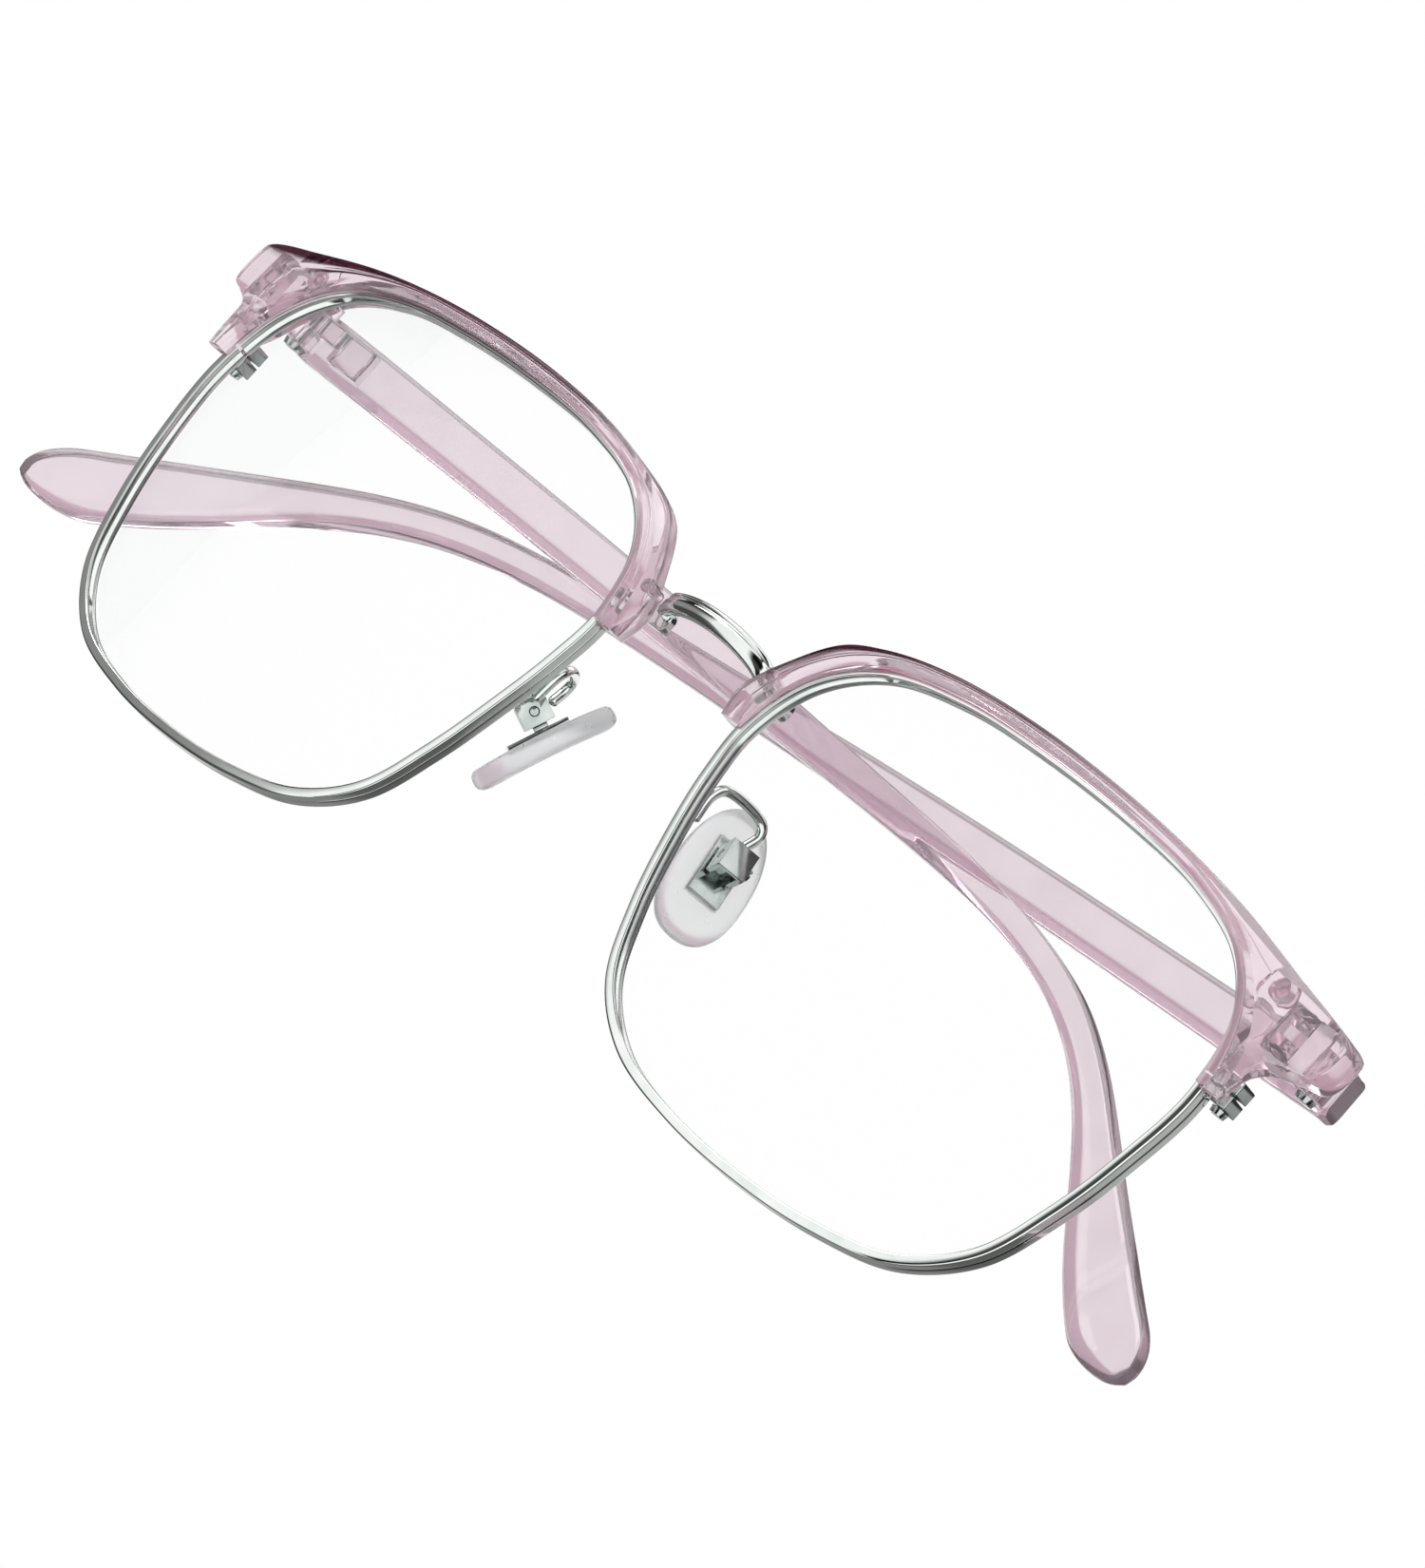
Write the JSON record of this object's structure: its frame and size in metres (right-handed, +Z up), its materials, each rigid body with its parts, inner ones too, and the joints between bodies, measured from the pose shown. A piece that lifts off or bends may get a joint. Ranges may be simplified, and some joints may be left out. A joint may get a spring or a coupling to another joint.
{
  "type": "browline spectacles",
  "caption": "Browline spectacles with clear tinted brow pieces and temples, wire rims, clear lenses, an arched bridge and nose pads, temples folded.",
  "frame": {"origin": "bottom centre of the bounding box of the whole object with its temples folded", "axes": "+X towards the wearer's left, -Y the way the lenses face, +Z up"},
  "size_m": [0.144, 0.0236, 0.0419],
  "materials": {
    "tinted_plastic": "polished clear plastic with a faint pink tint",
    "wire": "polished silver metal",
    "lens_glass": "clear coated lens",
    "pad_silicone": "clear soft silicone"
  },
  "bodies": {
    "front": {"rim_right": "wire", "lens_right": "lens_glass", "closing_block_upper_right": "wire", "closing_block_lower_right": "wire", "closing_screw_right": "wire", "brow_right": "tinted_plastic", "nasal_stud_right": "tinted_plastic", "temporal_stud_right": "tinted_plastic", "hinge_front_leaf_right": "tinted_plastic", "hinge_screw_right": "wire", "pad_arm_right": "wire", "pad_box_right": "wire", "pad_screw_right": "wire", "rim_left": "wire", "lens_left": "lens_glass", "closing_block_upper_left": "wire", "closing_block_lower_left": "wire", "closing_screw_left": "wire", "brow_left": "tinted_plastic", "nasal_stud_left": "tinted_plastic", "temporal_stud_left": "tinted_plastic", "hinge_front_leaf_left": "tinted_plastic", "hinge_screw_left": "wire", "pad_arm_left": "wire", "pad_box_left": "wire", "pad_screw_left": "wire", "bridge": "wire"},
    "temple_right": {"temple_right": "tinted_plastic", "hinge_temple_leaf_right": "tinted_plastic"},
    "temple_left": {"temple_left": "tinted_plastic", "hinge_temple_leaf_left": "tinted_plastic"},
    "pad_right": {"nose_pad_right": "pad_silicone", "pad_insert_right": "wire"},
    "pad_left": {"nose_pad_left": "pad_silicone", "pad_insert_left": "wire"}
  },
  "joints": [
    {"name": "temple_hinge_right", "type": "hinge", "parent": "front", "child": "temple_right", "pos_m": [-0.06104, 0.00261, 0.03548], "axis": [0, 0, 1], "range_deg": [0, 87.9]},
    {"name": "temple_hinge_left", "type": "hinge", "parent": "front", "child": "temple_left", "pos_m": [0.06296, 0.00261, 0.03548], "axis": [0, 0, -1], "range_deg": [0, 85.4]},
    {"name": "pad_rock_right", "type": "hinge", "parent": "front", "child": "pad_right", "pos_m": [-0.0113, -0.00458, 0.0198], "axis": [-0.6308, 0.7746, 0.0457], "range_deg": [-10, 10]},
    {"name": "pad_rock_left", "type": "hinge", "parent": "front", "child": "pad_left", "pos_m": [0.01322, -0.00458, 0.0198], "axis": [-0.6308, -0.7746, -0.0457], "range_deg": [-10, 10]}
  ]
}
